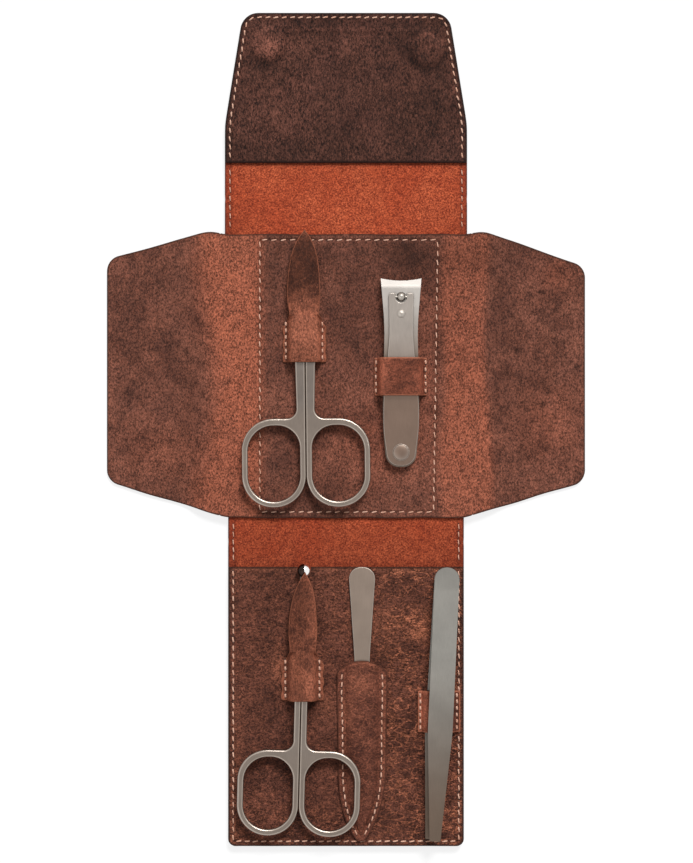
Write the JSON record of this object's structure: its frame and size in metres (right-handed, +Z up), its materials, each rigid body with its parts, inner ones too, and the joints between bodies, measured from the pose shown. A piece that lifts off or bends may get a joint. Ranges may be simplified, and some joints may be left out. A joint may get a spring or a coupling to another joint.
{
  "type": "manicure set case",
  "caption": "Folding leather manicure case lying open, with two pairs of scissors, a nail clipper, a file and tweezers held in stitched loops and sheaths.",
  "frame": {"origin": "middle of the open case, on the surface it lies on", "axes": "+Y along the long strip towards the closing flap, +X across to the right wing, +Z up from the table"},
  "size_m": [0.1598, 0.2782, 0.0102],
  "materials": {
    "brown_leather": "waxed pull-up leather, matt",
    "orange_lining": "fine grained lining leather, matt",
    "satin_steel": "satin brushed stainless steel",
    "magnet_steel": "nickel-plated magnet"
  },
  "bodies": {
    "case_middle": {"middle_outer": "brown_leather", "middle_lining": "orange_lining", "inner_sheet_middle": "brown_leather", "nail_scissors_tongue": "brown_leather", "clipper_loop": "brown_leather"},
    "lower_spine": {"lower_spine_outer": "brown_leather", "lower_spine_lining": "orange_lining"},
    "tool_panel": {"tool_panel_outer": "brown_leather", "tool_panel_lining": "orange_lining", "tool_panel_facing": "brown_leather", "tool_panel_magnets": "magnet_steel", "ball_scissors_tongue": "brown_leather", "file_sheath": "brown_leather", "tweezers_loop": "brown_leather"},
    "upper_spine": {"upper_spine_outer": "brown_leather", "upper_spine_lining": "orange_lining"},
    "flap": {"flap_outer": "brown_leather", "flap_lining": "orange_lining", "flap_facing": "brown_leather", "flap_magnets": "magnet_steel"},
    "left_band": {"left_fold_band": "brown_leather"},
    "left_wing": {"left_wing": "brown_leather"},
    "right_band": {"right_fold_band": "brown_leather"},
    "right_wing": {"right_wing": "brown_leather"},
    "nail_scissors": {"nail_scissors_screw": "satin_steel"},
    "nail_scissors_left": {"nail_scissors_left_half": "satin_steel"},
    "nail_scissors_right": {"nail_scissors_right_half": "satin_steel"},
    "clipper": {"clipper_lower_leaf": "satin_steel", "clipper_tail_rivet": "satin_steel", "clipper_post": "satin_steel", "clipper_cross_pin": "satin_steel"},
    "clipper_upper": {"clipper_upper_leaf": "satin_steel"},
    "clipper_thumb_lever": {"clipper_lever": "satin_steel"},
    "ball_scissors": {"ball_scissors_screw": "satin_steel"},
    "ball_scissors_left": {"ball_scissors_left_half": "satin_steel"},
    "ball_scissors_right": {"ball_scissors_right_half": "satin_steel"},
    "file": {"nail_file": "satin_steel"},
    "tweezers": {"tweezers_rear_arm": "satin_steel"},
    "tweezers_front": {"tweezers_front_arm": "satin_steel"}
  },
  "joints": [
    {"name": "lower_spine_fold", "type": "hinge", "parent": "case_middle", "child": "lower_spine", "pos_m": [0, -0.02955, 0.0035], "axis": [-1, 0, 0], "range_deg": [0, 90]},
    {"name": "tool_panel_fold", "type": "hinge", "parent": "lower_spine", "child": "tool_panel", "pos_m": [0, -0.04555, 0.0035], "axis": [-1, 0, 0], "range_deg": [0, 90]},
    {"name": "upper_spine_fold", "type": "hinge", "parent": "case_middle", "child": "upper_spine", "pos_m": [0, 0.06515, 0.0035], "axis": [1, 0, 0], "range_deg": [0, 90]},
    {"name": "flap_fold", "type": "hinge", "parent": "upper_spine", "child": "flap", "pos_m": [0, 0.08885, 0.0035], "axis": [1, 0, 0], "range_deg": [0, 94.3]},
    {"name": "left_band_fold", "type": "hinge", "parent": "case_middle", "child": "left_band", "pos_m": [-0.0396, 0, 0.0035], "axis": [0, 1, 0], "range_deg": [0, 90]},
    {"name": "left_wing_fold", "type": "hinge", "parent": "left_band", "child": "left_wing", "pos_m": [-0.0446, 0, 0.0035], "axis": [0, 1, 0], "range_deg": [0, 90]},
    {"name": "right_band_fold", "type": "hinge", "parent": "case_middle", "child": "right_band", "pos_m": [0.0396, 0, 0.0035], "axis": [0, -1, 0], "range_deg": [0, 90]},
    {"name": "right_wing_fold", "type": "hinge", "parent": "right_band", "child": "right_wing", "pos_m": [0.0446, 0, 0.0035], "axis": [0, -1, 0], "range_deg": [0, 90]},
    {"name": "nail_scissors_draw", "type": "slide", "parent": "case_middle", "child": "nail_scissors", "axis": [0, 1, 0], "range_m": [-0.018, 0]},
    {"name": "nail_left_open", "type": "hinge", "parent": "nail_scissors", "child": "nail_scissors_left", "pos_m": [-0.01375, 0.0377, 0.0053], "axis": [-0.0003, 0.0314, 0.9995], "range_deg": [-4, 0]},
    {"name": "nail_right_open", "type": "hinge", "parent": "nail_scissors", "child": "nail_scissors_right", "pos_m": [-0.01375, 0.0377, 0.0053], "axis": [-0.0003, 0.0314, 0.9995], "range_deg": [0, 4]},
    {"name": "clipper_draw", "type": "slide", "parent": "case_middle", "child": "clipper", "axis": [0, -1, 0], "range_m": [-0.038, 0]},
    {"name": "clipper_squeeze", "type": "hinge", "parent": "clipper", "child": "clipper_upper", "pos_m": [0.0183, -0.0065, 0.00481], "axis": [1, 0, 0], "range_deg": [-1.2, 0], "stiffness_Nm_per_rad": 2},
    {"name": "clipper_lever_lift", "type": "hinge", "parent": "clipper", "child": "clipper_thumb_lever", "pos_m": [0.0183, 0.044, 0.00889], "axis": [1, 0, 0], "range_deg": [-1.2, 0]},
    {"name": "ball_scissors_draw", "type": "slide", "parent": "tool_panel", "child": "ball_scissors", "axis": [0, 1, 0], "range_m": [-0.046, 0]},
    {"name": "ball_left_open", "type": "hinge", "parent": "ball_scissors", "child": "ball_scissors_left", "pos_m": [-0.0146, -0.0763, 0.00657], "axis": [0.0005, 0.0209, 0.9998], "range_deg": [-4, 0]},
    {"name": "ball_right_open", "type": "hinge", "parent": "ball_scissors", "child": "ball_scissors_right", "pos_m": [-0.0146, -0.0763, 0.00657], "axis": [0.0005, 0.0209, 0.9998], "range_deg": [0, 4]},
    {"name": "file_draw", "type": "slide", "parent": "tool_panel", "child": "file", "axis": [0, -1, 0], "range_m": [-0.055, 0]},
    {"name": "tweezers_draw", "type": "slide", "parent": "tool_panel", "child": "tweezers", "axis": [0, -1, 0], "range_m": [-0.051, 0]},
    {"name": "tweezers_squeeze", "type": "hinge", "parent": "tweezers", "child": "tweezers_front", "pos_m": [0.03342, -0.05279, 0.00685], "axis": [-0.9989, 0.0471, 0], "range_deg": [-2.3, 0], "stiffness_Nm_per_rad": 0.6}
  ],
  "couplings": [
    {"joint": "tool_panel_fold", "follows": "lower_spine_fold", "ratio": 1},
    {"joint": "flap_fold", "follows": "upper_spine_fold", "ratio": 1.0478},
    {"joint": "left_wing_fold", "follows": "left_band_fold", "ratio": 1},
    {"joint": "right_wing_fold", "follows": "right_band_fold", "ratio": 1},
    {"joint": "nail_right_open", "follows": "nail_left_open", "ratio": -1},
    {"joint": "ball_right_open", "follows": "ball_left_open", "ratio": -1}
  ]
}
